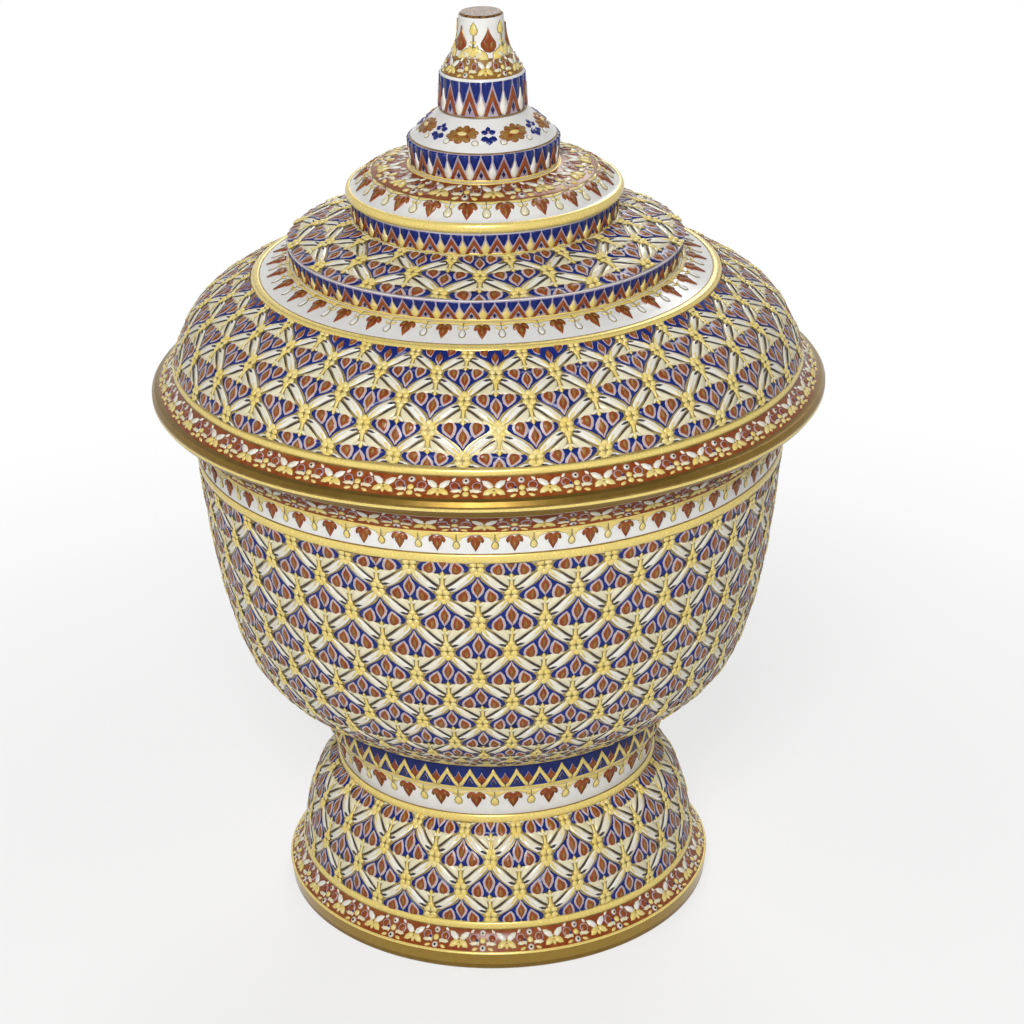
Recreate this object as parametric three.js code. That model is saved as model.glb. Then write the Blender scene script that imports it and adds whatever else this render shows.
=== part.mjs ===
// Lidded footed bowl in enamelled porcelain: a deep bowl on a hollow foot, and a tiered lid with a spire.
// Millimetres, +Z up, the origin at the centre of the foot's resting plane.
// Each piece is one revolved wall, formed by itself and luted to its neighbour with slip.
// Heights are measured from each piece's own base, so a piece that grows lifts what stands on it.
// The lid rests on the bowl's rim and is centred by a flange that drops into the mouth.
import * as THREE from "three";

// Roundness of every revolved piece
const SEGMENTS = 48;
const CURVE_STEPS = 8;

// Porcelain walls and joints
const WALL = 4.5;
const FINIAL_WALL = 3.4;
const SLIP_JOINT = 0.1;
const LID_SEAT_GAP = 0.3;
const FLANGE_CLEARANCE = 0.8;

// Gilded beads that stand out from the wall
const BEAD = 0.55;
const BROAD_BEAD = 0.9;

// Foot: resting band, flared border, belled panel, neck and collar
const FOOT_HEIGHT = 52.6;
const FOOT_BASE_RADIUS = 55.5;
const FOOT_REST_WIDTH = 4;
const FOOT_WIDE_RADIUS = 56;
const FOOT_WIDE_HEIGHT = 4.8;
const FOOT_RING_RADIUS = 51.7;
const FOOT_RING_HEIGHT = 10.4;
const FOOT_LOWER_RADIUS = 49.9;
const FOOT_LOWER_HEIGHT = 21.4;
const FOOT_SHOULDER_RADIUS = 46.6;
const FOOT_SHOULDER_HEIGHT = 29.7;
const NECK_RING_RADIUS = 41.2;
const NECK_RING_HEIGHT = 35.8;
const COLLAR_RADIUS = 44.3;
const COLLAR_WIDTH = 6.6;

// Bowl: luted base, round belly, steep side and rim
const BOWL_HEIGHT = 82.3;
const BOWL_FLOOR = 5.4;
const BOWL_SHOULDER_RADIUS = 57.3;
const BOWL_SHOULDER_HEIGHT = 9.9;
const BOWL_BELLY_RADIUS = 64.5;
const BOWL_BELLY_HEIGHT = 20.3;
const BOWL_SIDE_RADIUS = 69.7;
const BOWL_SIDE_HEIGHT = 40.3;
const BOWL_UPPER_RADIUS = 72.4;
const BOWL_UPPER_HEIGHT = 60.3;
const RIM_RADIUS = 74.1;
const RIM_ROUND = 1;
const BOWL_RING_RADIUS = 73.2;
const BOWL_RING_DROP = 12;

// Lid dome and brim, heights from the seat
const LID_DOME_HEIGHT = 36.2;
const LIP_RADIUS = 84;
const LIP_HEIGHT = 4.9;
const LIP_ROUND = 1.9;
const BRIM_HOLLOW_RADIUS = 79.6;
const BRIM_HOLLOW_HEIGHT = 8.9;
const BRIM_FOOT_RADIUS = 77.4;
const DOME_RING_RADIUS = 77.9;
const DOME_RING_HEIGHT = 11.2;
const DOME_LOW_RADIUS = 76.4;
const DOME_LOW_HEIGHT = 16.3;
const DOME_SIDE_RADIUS = 71.2;
const DOME_SIDE_HEIGHT = 24.4;
const CROWN_RING_RADIUS = 57.1;
const CROWN_RING_DROP = 3.1;
const FLANGE_DEPTH = 8;
const FLANGE_WIDTH = 3.5;

// Middle tier: drum a little wider at its edge than where it is luted on, and a low shoulder
const MIDDLE_HEIGHT = 10.6;
const MIDDLE_FOOT_RADIUS = 47.8;
const MIDDLE_EDGE_RADIUS = 48.7;
const MIDDLE_EDGE_HEIGHT = 5.4;
const MIDDLE_SHOULDER_RADIUS = 42.2;
const MIDDLE_SHOULDER_HEIGHT = 8;

// Upper tier: smaller drum under a broad gilded ring, and a shoulder that flattens
const UPPER_HEIGHT = 13.1;
const UPPER_FOOT_RADIUS = 32.3;
const UPPER_RING_RADIUS = 33;
const UPPER_RING_HEIGHT = 6.9;
const UPPER_SHOULDER_RADIUS = 27.2;
const UPPER_SHOULDER_HEIGHT = 11.7;

// Finial base: drum and rounded shoulder
const FINIAL_HEIGHT = 13.3;
const FINIAL_FOOT_RADIUS = 17.9;
const FINIAL_EDGE_RADIUS = 18.5;
const FINIAL_EDGE_HEIGHT = 6.9;
const FINIAL_SHOULDER_RADIUS = 15;
const FINIAL_SHOULDER_HEIGHT = 9.7;

// Finial spire: small drum, cone, neck and flat top
const SPIRE_FOOT_RADIUS = 10.6;
const SPIRE_EDGE_RADIUS = 10.3;
const SPIRE_EDGE_HEIGHT = 9.3;
const SPIRE_CONE_RADIUS = 8.6;
const SPIRE_CONE_RISE = 2.1;
const SPIRE_NECK_RADIUS = 6.1;
const SPIRE_NECK_RISE = 4.9;
const SPIRE_TOP_RADIUS = 5.4;
const SPIRE_TOP_RISE = 7.1;
const SPIRE_TOP_ROUND = 0.6;
const SPIRE_BORE_RADIUS = 4;

// Where each piece stands
const BOWL_BASE = FOOT_HEIGHT + SLIP_JOINT;
const RIM_LEVEL = BOWL_BASE + BOWL_HEIGHT;
const LID_SEAT = RIM_LEVEL + LID_SEAT_GAP;
const MIDDLE_BASE = LID_SEAT + LID_DOME_HEIGHT + SLIP_JOINT;
const UPPER_BASE = MIDDLE_BASE + MIDDLE_HEIGHT + SLIP_JOINT;
const FINIAL_BASE = UPPER_BASE + UPPER_HEIGHT + SLIP_JOINT;
const SPIRE_BASE = FINIAL_BASE + FINIAL_HEIGHT + SLIP_JOINT;

// What the mouth leaves for the flange
const MOUTH_RADIUS = RIM_RADIUS - WALL;
const FLANGE_RADIUS = MOUTH_RADIUS - FLANGE_CLEARANCE;

const at = (radius, height) => new THREE.Vector2(radius, height);

// A smooth stretch through the points that shape it
function curve(...points) {
  return new THREE.SplineCurve(points).getPoints(CURVE_STEPS);
}

// A round edge from one angle to another, in degrees, round a centre
function round(centre, radius, from, to, steps) {
  const points = [];
  for (let i = 0; i <= steps; i++) {
    const angle = THREE.MathUtils.degToRad(from + ((to - from) * i) / steps);
    points.push(at(centre.x + radius * Math.cos(angle), centre.y + radius * Math.sin(angle)));
  }
  return points;
}

// A half-round bead on the outside of a wall, drawn upwards
function bead(radius, height, size) {
  return round(at(radius - size / 4, height), (size * 5) / 4, -65, 65, 2);
}

// The same stretch moved into the wall by its thickness, and drawn the other way
function inside(points, wall) {
  const moved = points.map((point, i) => {
    const before = points[Math.max(i - 1, 0)];
    const after = points[Math.min(i + 1, points.length - 1)];
    const along = after.clone().sub(before).normalize();
    return at(point.x - along.y * wall, point.y + along.x * wall);
  });
  return moved.reverse();
}

// Revolves an outline that stands on its own base, lifts it to its place and finishes it
function porcelain(name, color, roughness, base, points, closed) {
  const outline = closed ? [...points, points[0].clone()] : points;
  const geometry = new THREE.LatheGeometry(outline, SEGMENTS).rotateX(Math.PI / 2);
  const mesh = new THREE.Mesh(geometry, new THREE.MeshStandardMaterial({ color, roughness, metalness: 0 }));
  mesh.name = name;
  mesh.position.z = base;
  return mesh;
}

// Hollow pedestal, open underneath; the bowl's floor closes it above
function makeFoot() {
  const panel = curve(
    at(FOOT_RING_RADIUS, FOOT_RING_HEIGHT + BEAD * 2),
    at(FOOT_LOWER_RADIUS, FOOT_LOWER_HEIGHT),
    at(FOOT_SHOULDER_RADIUS, FOOT_SHOULDER_HEIGHT),
    at(NECK_RING_RADIUS, NECK_RING_HEIGHT - BEAD),
  );
  const collarFoot = FOOT_HEIGHT - COLLAR_WIDTH;
  const neckInside = NECK_RING_RADIUS - WALL;
  const points = [
    at(FOOT_BASE_RADIUS - FOOT_REST_WIDTH, 0),
    at(FOOT_BASE_RADIUS - BEAD, 0),
    at(FOOT_BASE_RADIUS, BEAD),
    at(FOOT_WIDE_RADIUS, FOOT_WIDE_HEIGHT),
    at(FOOT_RING_RADIUS + BEAD, FOOT_RING_HEIGHT - BEAD * 3),
    ...bead(FOOT_RING_RADIUS, FOOT_RING_HEIGHT, BEAD),
    ...panel,
    ...bead(NECK_RING_RADIUS, NECK_RING_HEIGHT + BEAD, BEAD),
    at(NECK_RING_RADIUS + BEAD, NECK_RING_HEIGHT + BEAD * 4),
    at(COLLAR_RADIUS - BEAD * 2, collarFoot - BEAD),
    at(COLLAR_RADIUS, collarFoot),
    at(COLLAR_RADIUS + BEAD, collarFoot + COLLAR_WIDTH / 2),
    at(COLLAR_RADIUS, FOOT_HEIGHT),
    at(neckInside, FOOT_HEIGHT),
    at(neckInside, NECK_RING_HEIGHT),
    ...inside(panel.slice(1, -2), WALL),
    at(FOOT_RING_RADIUS - WALL, FOOT_RING_HEIGHT),
  ];
  return porcelain("foot", 0x2c3f86, 0.22, 0, points, true);
}

// Deep bowl with a flat luted base, steep sides and a rounded rim
function makeBowl() {
  const side = curve(
    at(COLLAR_RADIUS, 0),
    at(BOWL_SHOULDER_RADIUS, BOWL_SHOULDER_HEIGHT),
    at(BOWL_BELLY_RADIUS, BOWL_BELLY_HEIGHT),
    at(BOWL_SIDE_RADIUS, BOWL_SIDE_HEIGHT),
    at(BOWL_UPPER_RADIUS, BOWL_UPPER_HEIGHT),
  );
  const points = [
    at(0, 0),
    ...side,
    ...bead(BOWL_RING_RADIUS, BOWL_HEIGHT - BOWL_RING_DROP, BEAD),
    ...round(at(RIM_RADIUS - RIM_ROUND, BOWL_HEIGHT - RIM_ROUND), RIM_ROUND, 0, 90, 2),
    ...round(at(MOUTH_RADIUS + RIM_ROUND, BOWL_HEIGHT - RIM_ROUND), RIM_ROUND, 90, 180, 2),
    ...inside(side.slice(3), WALL),
    at(COLLAR_RADIUS + BOWL_FLOOR, BOWL_FLOOR * 2),
    at(COLLAR_RADIUS - BOWL_FLOOR, BOWL_FLOOR),
    at(0, BOWL_FLOOR),
  ];
  return porcelain("bowl", 0x33447f, 0.2, BOWL_BASE, points, false);
}

// Domed lid with a hollow-curved brim and a gilded rounded lip, open above into the tiers
function makeLidDome() {
  const dome = curve(
    at(DOME_RING_RADIUS, DOME_RING_HEIGHT + BEAD * 2),
    at(DOME_LOW_RADIUS, DOME_LOW_HEIGHT),
    at(DOME_SIDE_RADIUS, DOME_SIDE_HEIGHT),
    at(CROWN_RING_RADIUS + BEAD * 2, LID_DOME_HEIGHT - CROWN_RING_DROP - BEAD),
  );
  const crown = at(CROWN_RING_RADIUS, LID_DOME_HEIGHT - CROWN_RING_DROP);
  const opening = MIDDLE_FOOT_RADIUS - WALL * 2;
  const seatInner = FLANGE_RADIUS - WALL;
  const points = [
    at(seatInner, 0),
    at(BRIM_FOOT_RADIUS, 0),
    at(BRIM_FOOT_RADIUS + BEAD, BEAD * 3),
    ...round(at(LIP_RADIUS - LIP_ROUND, LIP_HEIGHT), LIP_ROUND, -90, 90, 5),
    at(BRIM_HOLLOW_RADIUS, BRIM_HOLLOW_HEIGHT),
    at(DOME_RING_RADIUS + BEAD, DOME_RING_HEIGHT - BEAD * 2),
    ...bead(DOME_RING_RADIUS, DOME_RING_HEIGHT, BEAD),
    ...dome,
    ...round(crown, BEAD, 0, 150, 2),
    at(MIDDLE_FOOT_RADIUS, LID_DOME_HEIGHT),
    at(opening, LID_DOME_HEIGHT),
    at(opening, LID_DOME_HEIGHT - WALL),
    ...inside(dome, WALL),
    at(seatInner, WALL),
  ];
  return porcelain("lid_dome", 0x3a4a86, 0.2, LID_SEAT, points, true);
}

// Ring luted under the lid's seat, which drops into the bowl's mouth and centres the lid
function makeLidFlange() {
  const inner = FLANGE_RADIUS - FLANGE_WIDTH;
  const points = [
    at(inner, 0),
    at(FLANGE_RADIUS - RIM_ROUND, 0),
    at(FLANGE_RADIUS, RIM_ROUND),
    at(FLANGE_RADIUS, FLANGE_DEPTH),
    at(inner, FLANGE_DEPTH),
  ];
  return porcelain("lid_locating_flange", 0xece8dc, 0.35, LID_SEAT - SLIP_JOINT - FLANGE_DEPTH, points, true);
}

// Broad drum with a low shoulder, open below and above
function makeMiddleTier() {
  const shoulder = curve(
    at(MIDDLE_EDGE_RADIUS, MIDDLE_EDGE_HEIGHT),
    at(MIDDLE_SHOULDER_RADIUS, MIDDLE_SHOULDER_HEIGHT),
    at(UPPER_FOOT_RADIUS, MIDDLE_HEIGHT),
  );
  const opening = UPPER_FOOT_RADIUS - WALL * 2;
  const points = [
    at(MIDDLE_FOOT_RADIUS - WALL, 0),
    at(MIDDLE_FOOT_RADIUS, 0),
    at(MIDDLE_FOOT_RADIUS, BEAD * 2),
    at(MIDDLE_EDGE_RADIUS, MIDDLE_EDGE_HEIGHT - BEAD),
    ...shoulder,
    at(opening, MIDDLE_HEIGHT),
    at(opening, MIDDLE_HEIGHT - WALL),
    at(MIDDLE_SHOULDER_RADIUS, MIDDLE_SHOULDER_HEIGHT - WALL),
  ];
  return porcelain("lid_middle_tier", 0x3a4a86, 0.2, MIDDLE_BASE, points, true);
}

// Smaller drum under a broad gilded ring, with a steep shoulder that flattens towards the finial
function makeUpperTier() {
  const opening = FINIAL_FOOT_RADIUS - WALL * 2;
  const points = [
    at(UPPER_FOOT_RADIUS - WALL, 0),
    at(UPPER_FOOT_RADIUS, 0),
    at(UPPER_FOOT_RADIUS, BEAD * 2),
    at(UPPER_RING_RADIUS - BEAD / 2, UPPER_RING_HEIGHT - BROAD_BEAD * 1.4),
    ...bead(UPPER_RING_RADIUS, UPPER_RING_HEIGHT, BROAD_BEAD),
    ...curve(
      at(UPPER_RING_RADIUS - BROAD_BEAD, UPPER_RING_HEIGHT + BROAD_BEAD * 1.4),
      at(UPPER_SHOULDER_RADIUS, UPPER_SHOULDER_HEIGHT),
      at(FINIAL_FOOT_RADIUS, UPPER_HEIGHT),
    ),
    at(opening, UPPER_HEIGHT),
    at(opening, UPPER_HEIGHT - WALL),
    at(UPPER_SHOULDER_RADIUS - WALL / 2, UPPER_SHOULDER_HEIGHT - WALL),
  ];
  return porcelain("lid_upper_tier", 0xd9d2c4, 0.22, UPPER_BASE, points, true);
}

// Finial's drum and rounded shoulder, open below and above
function makeFinialBase() {
  const opening = SPIRE_FOOT_RADIUS - FINIAL_WALL;
  const points = [
    at(FINIAL_FOOT_RADIUS - FINIAL_WALL, 0),
    at(FINIAL_FOOT_RADIUS, 0),
    at(FINIAL_FOOT_RADIUS, BEAD * 2),
    at(FINIAL_EDGE_RADIUS, FINIAL_EDGE_HEIGHT - BEAD),
    ...curve(
      at(FINIAL_EDGE_RADIUS - BEAD, FINIAL_EDGE_HEIGHT),
      at(FINIAL_SHOULDER_RADIUS, FINIAL_SHOULDER_HEIGHT),
      at(SPIRE_FOOT_RADIUS, FINIAL_HEIGHT),
    ),
    at(opening, FINIAL_HEIGHT),
    at(opening, FINIAL_HEIGHT - FINIAL_WALL),
    at(FINIAL_SHOULDER_RADIUS - FINIAL_WALL, FINIAL_EDGE_HEIGHT),
  ];
  return porcelain("finial_base", 0xe6e2d8, 0.22, FINIAL_BASE, points, true);
}

// Spire: small drum, cone and neck with a flat rounded top, bored from below
function makeFinialSpire() {
  const neck = SPIRE_EDGE_HEIGHT + SPIRE_CONE_RISE + SPIRE_NECK_RISE;
  const top = neck + SPIRE_TOP_RISE;
  const points = [
    at(0, SPIRE_EDGE_HEIGHT + SPIRE_BORE_RADIUS / 2),
    at(SPIRE_BORE_RADIUS, SPIRE_EDGE_HEIGHT),
    at(SPIRE_BORE_RADIUS, 0),
    at(SPIRE_FOOT_RADIUS, 0),
    at(SPIRE_FOOT_RADIUS, BEAD * 2),
    at(SPIRE_EDGE_RADIUS, SPIRE_EDGE_HEIGHT - BEAD),
    ...curve(
      at(SPIRE_EDGE_RADIUS - BEAD / 2, SPIRE_EDGE_HEIGHT),
      at(SPIRE_CONE_RADIUS, SPIRE_EDGE_HEIGHT + SPIRE_CONE_RISE),
      at(SPIRE_NECK_RADIUS, neck),
      at(SPIRE_TOP_RADIUS, top - SPIRE_TOP_ROUND),
    ),
    at(SPIRE_TOP_RADIUS - SPIRE_TOP_ROUND, top),
    at(0, top),
  ];
  return porcelain("finial_spire", 0xd8cdbb, 0.22, SPIRE_BASE, points, false);
}

const lidded_bowl = new THREE.Group();
lidded_bowl.name = "lidded_bowl";
lidded_bowl.add(
  makeFoot(),
  makeBowl(),
  makeLidDome(),
  makeLidFlange(),
  makeMiddleTier(),
  makeUpperTier(),
  makeFinialBase(),
  makeFinialSpire(),
);

export default lidded_bowl;
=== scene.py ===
import bisect
import math
import bpy
import bmesh
from mathutils import Matrix, Vector, noise


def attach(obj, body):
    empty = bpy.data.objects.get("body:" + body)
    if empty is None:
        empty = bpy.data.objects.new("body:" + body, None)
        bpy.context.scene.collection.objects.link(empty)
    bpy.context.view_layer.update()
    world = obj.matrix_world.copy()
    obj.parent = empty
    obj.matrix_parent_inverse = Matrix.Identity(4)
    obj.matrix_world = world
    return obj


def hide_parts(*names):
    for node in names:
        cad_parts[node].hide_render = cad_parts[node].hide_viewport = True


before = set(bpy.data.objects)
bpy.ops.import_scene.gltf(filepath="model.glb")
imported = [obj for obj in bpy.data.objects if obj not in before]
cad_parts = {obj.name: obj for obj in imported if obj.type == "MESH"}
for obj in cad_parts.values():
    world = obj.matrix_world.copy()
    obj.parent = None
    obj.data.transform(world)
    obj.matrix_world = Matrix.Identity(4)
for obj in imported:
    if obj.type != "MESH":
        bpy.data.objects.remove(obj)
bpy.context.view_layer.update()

mm = 0.001
print("frame loaded:", ", ".join(sorted(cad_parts)))

# Camera, from the rings and the outline in the photograph
view = {"distance": 652.1, "height": 394.6, "focalPixels": 2789.0, "framePixels": 1024,
        "pitch": 24.17, "roll": -1.04, "yaw": 0.46, "sensorWidth": 36.0, "clip": (0.05, 20.0)}


def makeCamera():
    data = bpy.data.cameras.new("photoCamera")
    data.sensor_width = view["sensorWidth"]
    data.lens = view["focalPixels"] / view["framePixels"] * data.sensor_width
    data.clip_start, data.clip_end = view["clip"]
    camera = bpy.data.objects.new("photoCamera", data)
    bpy.context.collection.objects.link(camera)
    pitch, roll, yaw = (math.radians(view[k]) for k in ("pitch", "roll", "yaw"))
    forward = Vector((math.sin(yaw) * math.cos(pitch), math.cos(yaw) * math.cos(pitch), -math.sin(pitch)))
    level = Vector((math.cos(yaw), -math.sin(yaw), 0))
    upright = level.cross(forward)
    right = math.cos(roll) * level + math.sin(roll) * upright
    up = math.cos(roll) * upright - math.sin(roll) * level
    turn = Matrix((right, up, -forward)).transposed().to_4x4()
    place = Matrix.Translation((0, -view["distance"] * mm, view["height"] * mm))
    camera.matrix_world = place @ turn
    bpy.context.scene.camera = camera


makeCamera()
print("camera placed")

# Studio: a soft light above the camera, weak ones at both sides and behind, and a pale room that greys
# overhead. Its two fades run from 0 straight below to 1 straight above.
studio = {"worldStrength": 0.10, "overhead": 0.45, "roomFade": (0.62, 0.88),
          "skyLow": (0.5, 0.49, 0.48), "skyFade": (0.3, 0.75),
          "floorWhite": 0.85, "floorRough": 0.9, "floorShine": 0.1, "floorSize": 6.0,
          "floorGlow": (0.1, 0.36), "glowNear": 0.68, "aim": (0, 0, 0.12),
          "lights": [("keyLight", (-0.08, -0.85, 0.72), 0.36, 8.2),
                     ("leftLight", (-1.3, 0.2, 0.9), 0.9, 0.35),
                     ("rightLight", (1.3, 0.2, 0.9), 0.9, 0.35),
                     ("backLight", (0.2, 1.3, 1.1), 0.9, 11.0)]}


def seenDirectly(tree):
    path = tree.nodes.new("ShaderNodeLightPath")
    mirrored = tree.nodes.new("ShaderNodeMath")
    mirrored.operation = "MAXIMUM"
    tree.links.new(path.outputs["Is Glossy Ray"], mirrored.inputs[0])
    tree.links.new(path.outputs["Is Transmission Ray"], mirrored.inputs[1])
    seen = tree.nodes.new("ShaderNodeMath")
    seen.operation = "MAXIMUM"
    tree.links.new(path.outputs["Is Camera Ray"], seen.inputs[0])
    tree.links.new(mirrored.outputs[0], seen.inputs[1])
    return seen.outputs[0]


def makeFade(tree, height, fade, low, top):
    ramp = tree.nodes.new("ShaderNodeValToRGB")
    ramp.color_ramp.elements[0].position = fade[0]
    ramp.color_ramp.elements[0].color = (*low, 1)
    ramp.color_ramp.elements[1].position = fade[1]
    ramp.color_ramp.elements[1].color = (*top, 1)
    tree.links.new(height.outputs["Result"], ramp.inputs["Fac"])
    return ramp.outputs["Color"]


def makeWorld():
    # White at the horizon and grey overhead, at full strength where it is seen and weaker where it lights
    world = bpy.data.worlds.new("studio")
    bpy.context.scene.world = world
    world.use_nodes = True
    tree = world.node_tree
    tree.nodes.clear()
    out = tree.nodes.new("ShaderNodeOutputWorld")
    mix = tree.nodes.new("ShaderNodeMixShader")
    seen = tree.nodes.new("ShaderNodeBackground")
    lit = tree.nodes.new("ShaderNodeBackground")
    lit.inputs["Strength"].default_value = studio["worldStrength"]
    where = tree.nodes.new("ShaderNodeTexCoord")
    split = tree.nodes.new("ShaderNodeSeparateXYZ")
    height = tree.nodes.new("ShaderNodeMapRange")
    height.inputs["From Min"].default_value = -1
    height.inputs["From Max"].default_value = 1
    room = makeFade(tree, height, studio["roomFade"], (1, 1, 1), (studio["overhead"],) * 3)
    sky = makeFade(tree, height, studio["skyFade"], studio["skyLow"], (1, 1, 1))
    tree.links.new(where.outputs["Generated"], split.inputs[0])
    tree.links.new(split.outputs["Z"], height.inputs["Value"])
    tree.links.new(room, seen.inputs["Color"])
    tree.links.new(sky, lit.inputs["Color"])
    tree.links.new(seenDirectly(tree), mix.inputs["Fac"])
    tree.links.new(lit.outputs[0], mix.inputs[1])
    tree.links.new(seen.outputs[0], mix.inputs[2])
    tree.links.new(mix.outputs[0], out.inputs["Surface"])


def makePaper():
    # White paper that keeps the shadow round the foot and fades into plain white further out
    paint = bpy.data.materials.new("whitePaper")
    paint.use_nodes = True
    tree = paint.node_tree
    surface = tree.nodes["Principled BSDF"]
    surface.inputs["Base Color"].default_value = (studio["floorWhite"],) * 3 + (1,)
    surface.inputs["Roughness"].default_value = studio["floorRough"]
    surface.inputs["Specular IOR Level"].default_value = studio["floorShine"]
    glow = tree.nodes.new("ShaderNodeEmission")
    mix = tree.nodes.new("ShaderNodeMixShader")
    where = tree.nodes.new("ShaderNodeTexCoord")
    far = tree.nodes.new("ShaderNodeVectorMath")
    far.operation = "LENGTH"
    fade = tree.nodes.new("ShaderNodeMapRange")
    fade.interpolation_type = "SMOOTHSTEP"
    near, beyond = studio["floorGlow"]
    fade.inputs["From Min"].default_value = near
    fade.inputs["From Max"].default_value = beyond
    fade.inputs["To Min"].default_value = studio["glowNear"]
    only = tree.nodes.new("ShaderNodeMath")
    only.operation = "MULTIPLY"
    tree.links.new(where.outputs["Object"], far.inputs[0])
    tree.links.new(far.outputs["Value"], fade.inputs["Value"])
    tree.links.new(fade.outputs["Result"], only.inputs[0])
    tree.links.new(seenDirectly(tree), only.inputs[1])
    tree.links.new(only.outputs[0], mix.inputs["Fac"])
    tree.links.new(surface.outputs[0], mix.inputs[1])
    tree.links.new(glow.outputs[0], mix.inputs[2])
    tree.links.new(mix.outputs[0], tree.nodes["Material Output"].inputs["Surface"])
    return paint


def makeFloor():
    mesh = bpy.data.meshes.new("floor")
    build = bmesh.new()
    bmesh.ops.create_grid(build, x_segments=1, y_segments=1, size=studio["floorSize"] / 2)
    build.to_mesh(mesh)
    build.free()
    floor = bpy.data.objects.new("floor", mesh)
    bpy.context.collection.objects.link(floor)
    mesh.materials.append(makePaper())


def makeLights():
    for name, place, size, power in studio["lights"]:
        data = bpy.data.lights.new(name, "AREA")
        data.shape = "DISK"
        data.size = size
        data.energy = power
        lamp = bpy.data.objects.new(name, data)
        lamp.location = place
        aim = Vector(studio["aim"]) - Vector(place)
        lamp.rotation_euler = aim.to_track_quat("-Z", "Y").to_euler()
        bpy.context.collection.objects.link(lamp)


makeWorld()
makeFloor()
makeLights()
bpy.context.scene.view_settings.view_transform = "Standard"
print("studio lit")

# Fired glaze: a colour that thins out in broad patches, and the fine unevenness of brushed enamel
glazing = {"broadDetail": 4, "fineScale": 1500, "fineDetail": 2, "thinFrom": 0.38, "thinTo": 0.68,
           "glossSpread": 0.12}


def glazeGroup():
    group = bpy.data.node_groups.new("firedGlaze", "ShaderNodeTree")
    for name in ("Color", "Thin Color"):
        group.interface.new_socket(name, in_out="INPUT", socket_type="NodeSocketColor")
    for name in ("Thinness", "Gloss", "Grain"):
        group.interface.new_socket(name, in_out="INPUT", socket_type="NodeSocketFloat")
    group.interface.new_socket("Color", in_out="OUTPUT", socket_type="NodeSocketColor")
    for name in ("Roughness", "Height"):
        group.interface.new_socket(name, in_out="OUTPUT", socket_type="NodeSocketFloat")
    nodes, links = group.nodes, group.links
    given = nodes.new("NodeGroupInput")
    out = nodes.new("NodeGroupOutput")
    where = nodes.new("ShaderNodeTexCoord")
    broad = nodes.new("ShaderNodeTexNoise")
    links.new(given.outputs["Grain"], broad.inputs["Scale"])
    broad.inputs["Detail"].default_value = glazing["broadDetail"]
    fine = nodes.new("ShaderNodeTexNoise")
    fine.inputs["Scale"].default_value = glazing["fineScale"]
    fine.inputs["Detail"].default_value = glazing["fineDetail"]
    links.new(where.outputs["Object"], broad.inputs["Vector"])
    links.new(where.outputs["Object"], fine.inputs["Vector"])
    spread = nodes.new("ShaderNodeMapRange")
    links.new(broad.outputs["Fac"], spread.inputs["Value"])
    spread.inputs["From Min"].default_value = glazing["thinFrom"]
    spread.inputs["From Max"].default_value = glazing["thinTo"]
    links.new(given.outputs["Thinness"], spread.inputs["To Max"])
    tint = nodes.new("ShaderNodeMix")
    tint.data_type = "RGBA"
    links.new(spread.outputs["Result"], tint.inputs["Factor"])
    links.new(given.outputs["Color"], tint.inputs[6])
    links.new(given.outputs["Thin Color"], tint.inputs[7])
    gloss = nodes.new("ShaderNodeMath")
    gloss.operation = "MULTIPLY_ADD"
    gloss.inputs[1].default_value = glazing["glossSpread"]
    links.new(fine.outputs["Fac"], gloss.inputs[0])
    links.new(given.outputs["Gloss"], gloss.inputs[2])
    links.new(tint.outputs[2], out.inputs["Color"])
    links.new(gloss.outputs[0], out.inputs["Roughness"])
    links.new(fine.outputs["Fac"], out.inputs["Height"])
    return group


firedGlaze = glazeGroup()


def makeFinish(name, color, thin, thinness, gloss, metal=0.0, bump=0.00002, shine=0.25, grain=420):
    paint = bpy.data.materials.new(name)
    paint.use_nodes = True
    tree = paint.node_tree
    surface = tree.nodes["Principled BSDF"]
    glaze = tree.nodes.new("ShaderNodeGroup")
    glaze.node_tree = firedGlaze
    glaze.inputs["Color"].default_value = (*color, 1)
    glaze.inputs["Thin Color"].default_value = (*thin, 1)
    glaze.inputs["Thinness"].default_value = thinness
    glaze.inputs["Gloss"].default_value = gloss
    glaze.inputs["Grain"].default_value = grain
    tree.links.new(glaze.outputs["Color"], surface.inputs["Base Color"])
    tree.links.new(glaze.outputs["Roughness"], surface.inputs["Roughness"])
    uneven = tree.nodes.new("ShaderNodeBump")
    uneven.inputs["Distance"].default_value = bump
    tree.links.new(glaze.outputs["Height"], uneven.inputs["Height"])
    tree.links.new(uneven.outputs["Normal"], surface.inputs["Normal"])
    surface.inputs["Metallic"].default_value = metal
    surface.inputs["Specular IOR Level"].default_value = shine
    return paint


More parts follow.
